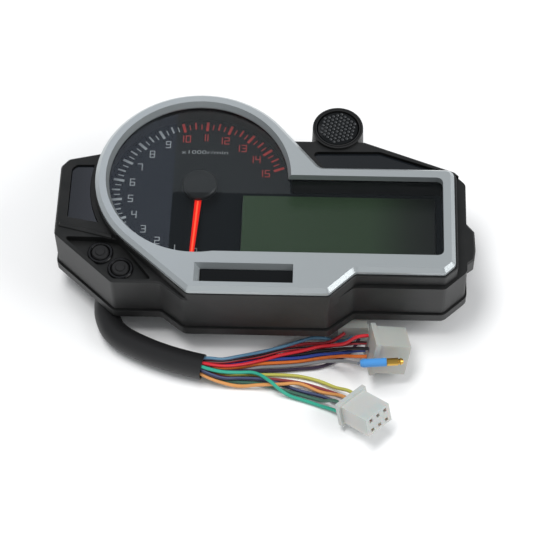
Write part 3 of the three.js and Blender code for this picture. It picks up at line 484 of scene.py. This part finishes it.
sleeve_line = [p + ORIGIN for p in spline(SLEEVE_ROUTE)]
sleeve_piece = add(
    "sleeve", cord_mesh("sleeve", sleeve_line, SLEEVE_DIAMETER / 2, SLEEVE_SIDES, bore=SLEEVE_BORE),
    vinyl,
)
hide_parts("harness_sleeve")
at(*SLEEVE_ROUTE[0])
PLUG_NODES = {
    "rear": ["rear_plug"], "nine": ["nine_pin_plug"], "six": ["six_pin_plug"],
    "bullet": ["bullet_sleeve", "bullet_pin"],
}
for name, (colour, tracer, plug, route) in WIRES.items():
    # Inside the mouth of the sleeve each wire runs on for a little way.
    start = Vector(route[0])
    inner = start.lerp(Vector((*WIRE_ROOT, start.z)), 0.75)
    line = [p + ORIGIN for p in spline([tuple(inner), *route])]
    insulation = [shader(f"wire_{name}", linear(colour), WIRE_ROUGHNESS)]
    if tracer:
        insulation.append(shader(f"wire_{name}_tracer", linear(tracer), WIRE_ROUGHNESS))
    mesh = cord_mesh(f"cord_{name}", line, WIRE_DIAMETER / 2, WIRE_SIDES, tracer=bool(tracer))
    wire = add(f"cord_{name}", mesh, insulation)
    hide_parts(f"wire_{name}")
    length_of(line) * MM
    [nodes[n] for n in PLUG_NODES[plug]]


# ---- CAD nodes that keep their shape: rounded edges and a finish ----
def dress(name, material, bevel=0.0, segments=2):
    """The finish of a CAD node, with its edges rounded by a small bevel in millimetres."""
    node = nodes[name]
    node.data.materials.clear()
    node.data.materials.append(material)
    if bevel:
        rounder = node.modifiers.new("edges", "BEVEL")
        rounder.width = bevel * MM
        rounder.segments = segments
        rounder.limit_method = "ANGLE"
        rounder.angle_limit = math.radians(30)


def smooth_nodes():
    """Smooth shading for CAD nodes, sharp where their faces meet at a clear angle."""
    for node in nodes.values():
        node.data.shade_smooth()
        node.data.set_sharp_from_angle(angle=math.radians(32))


dress("front_bezel", silver, 0.3, segments=3)
dress("front_lens", lens_clear)
dress("badge_inlay", gloss_black, 0.2)
dress("left_indicator_window", smoked, 0.25)
dress("right_indicator_window", smoked, 0.25)
dress("front_housing", case_black, 0.35)
dress("rear_cover", case_black, 0.4)
dress("rear_gasket", rubber)
dress("dial_plate", dial_face)
dress("lcd_panel", lcd_glass)
dress("lcd_backlight", nylon)
dress("main_board", board)
dress("microcontroller", case_black)
dress("board_connector", nylon)
dress("stepper_motor", case_black)
dress("pointer", pointer_red, 0.15)
dress("pointer_hub_cap", hub_black, 0.3)
dress("motor_shaft", steel)
dress("shift_light_ring", case_black, 0.2)
dress("shift_light_lens", gloss_black, 0.15)
dress("shift_light_led", nylon)
dress("harness_grommet", rubber, 0.3)
dress("six_pin_plug", nylon, 0.35)
dress("nine_pin_plug", darker_nylon, 0.35)
dress("rear_plug", darker_nylon, 0.35)
dress("bullet_sleeve", bullet_blue, 0.15)
dress("bullet_pin", brass, 0.1)
for number in (1, 2, 3, 4):
    dress(f"rear_screw_{number}", steel, 0.1)
for number in (1, 2, 3):
    dress(f"mount_insert_{number}", brass, 0.1)
for button in ("mode", "set"):
    dress(f"{button}_button", rubber, 0.12)
    dress(f"{button}_button_collar", key_black, 0.12)
    dress(f"{button}_button_seal", rubber)
    dress(f"{button}_switch", steel)
    dress(f"{button}_switch_plunger", case_black)


# ---- Dial printing ----
DIAL = (0.3, 0.1)
DIAL_TOP = -16.9
PRINT = 0.06  # thickness of the printed marks
LIFT = 0.01  # of the marks off the dial
NUMBER_RADIUS = 36.3
ZERO, STEP = 2.0, 16.4  # degrees from straight down, and for each thousand
FIRST_RED = 10


def dial_angle(thousands):
    return math.radians(-90 - ZERO - STEP * thousands)


def tick(thousands, inner, outer, width):
    spot = shift(*DIAL, DIAL_TOP) @ Matrix.Rotation(dial_angle(thousands), 4, "Z")
    return box(inner, outer, -width / 2, width / 2, LIFT, PRINT, spot)


# Digits as filled cells of three columns and five rows, from the top row down.
DIGITS = {
    "0": "### #.# #.# #.# ###", "1": "..# ..# ..# ..# ..#", "2": "### ..# ### #.. ###",
    "3": "### ..# .## ..# ###", "4": "#.# #.# ### ..# ..#", "5": "### #.. ### ..# ###",
    "6": "### #.. ### #.# ###", "7": "### ..# ..# ..# ..#", "8": "### #.# ### #.# ###",
    "9": "### #.# ### ..# ###",
}
DIGIT_HEIGHT, DIGIT_WIDTH, STROKE, DIGIT_GAP = 4.5, 2.7, 0.45, 0.9


def number(words, x, y):
    """A number printed on the dial, upright, centred on x and y."""
    made = bmesh.new()
    tall = (DIGIT_HEIGHT - 3 * STROKE) / 2
    rows = [STROKE, tall, STROKE, tall, STROKE]
    columns = [STROKE, DIGIT_WIDTH - 2 * STROKE, STROKE]
    widths = [STROKE if digit == "1" else DIGIT_WIDTH for digit in words]
    left = -(sum(widths) + DIGIT_GAP * (len(words) - 1)) / 2
    for digit, width in zip(words, widths):
        for i, row in enumerate(DIGITS[digit].split()):
            top = DIGIT_HEIGHT / 2 - sum(rows[:i])
            for k, cell in enumerate(row):
                if cell != "#":
                    continue
                start = left if digit == "1" else left + sum(columns[:k])
                made.faces.new([
                    made.verts.new((start + dx, top + dy, 0))
                    for dx, dy in (
                        (0, 0), (0, -rows[i]), (columns[k], -rows[i]), (columns[k], 0),
                    )
                ])
        left += width + DIGIT_GAP
    bmesh.ops.remove_doubles(made, verts=made.verts[:], dist=0.01)
    raised = bmesh.ops.extrude_face_region(made, geom=made.faces[:])
    for v in raised["geom"]:
        if isinstance(v, bmesh.types.BMVert):
            v.co.z += PRINT
    bmesh.ops.recalc_face_normals(made, faces=made.faces[:])
    made.transform(METRES @ shift(x, y, DIAL_TOP + LIFT))
    return made


def flat_text(words, height, width, x, y):
    """Upright characters on the dial, as a mesh, stretched to a width."""
    curve = bpy.data.curves.new("words", "FONT")
    curve.body = words
    curve.size = height / 0.69
    curve.align_x = "CENTER"
    curve.align_y = "CENTER"
    curve.extrude = PRINT / 2
    curve.offset = -0.01 * curve.size
    holder = bpy.data.objects.new("words", curve)
    bpy.context.scene.collection.objects.link(holder)
    bpy.context.view_layer.update()
    made = bmesh.new()
    made.from_mesh(holder.to_mesh())
    holder.to_mesh_clear()
    bpy.data.objects.remove(holder)
    span = max(v.co.x for v in made.verts) - min(v.co.x for v in made.verts)
    made.transform(Matrix.Diagonal((width / span, 1, 1, 1)))
    made.transform(METRES @ shift(x, y, DIAL_TOP + PRINT / 2 + LIFT))
    return made


marks = {False: [], True: []}
for quarter in range(15 * 4 + 1):
    thousands = quarter / 4
    red = thousands >= FIRST_RED
    if quarter % 4 == 0:
        marks[red].append(tick(thousands, 40.7, 46.4, 1.4))
    elif quarter % 2 == 0:
        marks[red].append(tick(thousands, 41.9, 46.2, 0.9))
    else:
        marks[red].append(tick(thousands, 41.7, 44.9, 0.55))
for thousands in range(16):
    angle = dial_angle(thousands)
    x = DIAL[0] + NUMBER_RADIUS * math.cos(angle)
    y = DIAL[1] + NUMBER_RADIUS * math.sin(angle)
    marks[thousands >= FIRST_RED].append(number(str(thousands), x, y))
marks[False].append(flat_text("x1000r/min", 2.3, 24.4, 1.5, 26.7))
for red, parts in marks.items():
    piece = add(
        "dial_marks_red" if red else "dial_marks_white", joined("dial_marks", parts),
        print_red if red else print_white, smooth=0,
    )


# ---- Pointer: a lighter red line along its middle, both with a painted glow ----
POINTER_TURN = Matrix.Rotation(math.radians(-3), 4, "Z")
POINTER_TOP = -10.4
line_box = box(-0.4, 0.4, -40.4, -9.3, 0.02, 0.1, shift(*DIAL, POINTER_TOP) @ POINTER_TURN)
stripe = add(
    "pointer_line_glowing", joined("pointer_line_glowing", [line_box]), pointer_line_glowing, body=NEEDLE, smooth=0,
)

# ---- Shift light: a lattice of pips on its dark lens ----
LIGHT = (71, 37.3)
pips = []
LENS_TOP = -7.7
PIP_PITCH, PIP_TURN, PIP_REACH = 2.3, math.radians(18), 9.9
PIP_PROFILE = [(0, -0.35), (0.98, -0.35), (0.92, 0.1), (0.7, 0.42), (0.36, 0.6), (0, 0.65)]
for row in range(-6, 7):
    for column in range(-9, 10):
        px = PIP_PITCH * (column + row / 2)
        py = PIP_PITCH * row * math.sqrt(3) / 2
        if math.hypot(px, py) > PIP_REACH:
            continue
        x = LIGHT[0] + px * math.cos(PIP_TURN) - py * math.sin(PIP_TURN)
        y = LIGHT[1] + px * math.sin(PIP_TURN) + py * math.cos(PIP_TURN)
        pips.append(lathe(PIP_PROFILE, shift(x, y, LENS_TOP), 12))
pip_piece = add("shift_light_pips", joined("pips", pips), pip_black)

smooth_nodes()


# ---- Floor and lights, in metres ----
def area_light(name, spot, target, width, height, power, seen=True):
    """A soft rectangular light. One that is not seen leaves no reflection."""
    lamp = bpy.data.lights.new(name, "AREA")
    lamp.shape = "RECTANGLE"
    lamp.size = width
    lamp.size_y = height
    lamp.energy = power
    holder = bpy.data.objects.new(name, lamp)
    bpy.context.scene.collection.objects.link(holder)
    holder.location = spot
    holder.rotation_euler = (Vector(target) - Vector(spot)).to_track_quat("-Z", "Y").to_euler()
    holder.visible_camera = False
    holder.visible_glossy = seen
    return holder


floor_mesh = bpy.data.meshes.new("floor")
REACH, FLOOR_LEVEL = 6.0, -0.0003
floor_corners = [(-REACH, -REACH), (REACH, -REACH), (REACH, REACH), (-REACH, REACH)]
floor_mesh.from_pydata([(*corner, FLOOR_LEVEL) for corner in floor_corners], [], [(0, 1, 2, 3)])
floor_mesh.materials.append(shader("floor", (0.93, 0.93, 0.93), 0.9))
floor = bpy.data.objects.new("floor", floor_mesh)
bpy.context.scene.collection.objects.link(floor)

world = bpy.data.worlds.new("studio")
world.use_nodes = True
world.node_tree.nodes["Background"].inputs["Color"].default_value = (0.94, 0.97, 1, 1)
world.node_tree.nodes["Background"].inputs["Strength"].default_value = 0.4
bpy.context.scene.world = world
area_light("key", (-0.3, 0.1, 1.3), (0, 0, 0), 0.8, 0.5, 12, seen=False)
area_light("fill", (1.0, -0.2, 0.8), (0, 0, 0), 0.8, 0.8, 7)
area_light("front", (-0.3, -1.1, 0.5), (0, 0, 0.02), 1.0, 0.4, 0.9)


LENS_LEVEL = -4.3  # top of the clear lens


def reflection(name, left, right, low, high, radiance, colour):
    """A panel seen only by reflection: the clear lens mirrors it to the camera over this area."""
    camera_x, camera_y, camera_z = CAMERA_SPOT
    image = Vector((camera_x, camera_y, 2 * LENS_LEVEL - camera_z))  # the camera in the mirror
    corners = [
        image + 2 * (Vector((x, y, LENS_LEVEL)) - image) for x, y in ((left, low), (right, high))
    ]
    width, depth = (corners[1].x - corners[0].x) * MM, (corners[1].y - corners[0].y) * MM
    middle = at(*((corners[0] + corners[1]) / 2))
    power = radiance * math.pi * width * depth
    panel = area_light(name, middle, (middle.x, middle.y, 0), width, depth, power)
    panel.rotation_euler = (0, 0, 0)
    panel.data.color = colour
    panel.visible_diffuse = False


reflection("haze_left", -60, -13, -60, 60, 1.0, (0.95, 1, 1.25))
reflection("haze_top", -13, 47, -8, 60, 0.8, (1, 1, 1))
bpy.context.scene.view_settings.view_transform = "Standard"
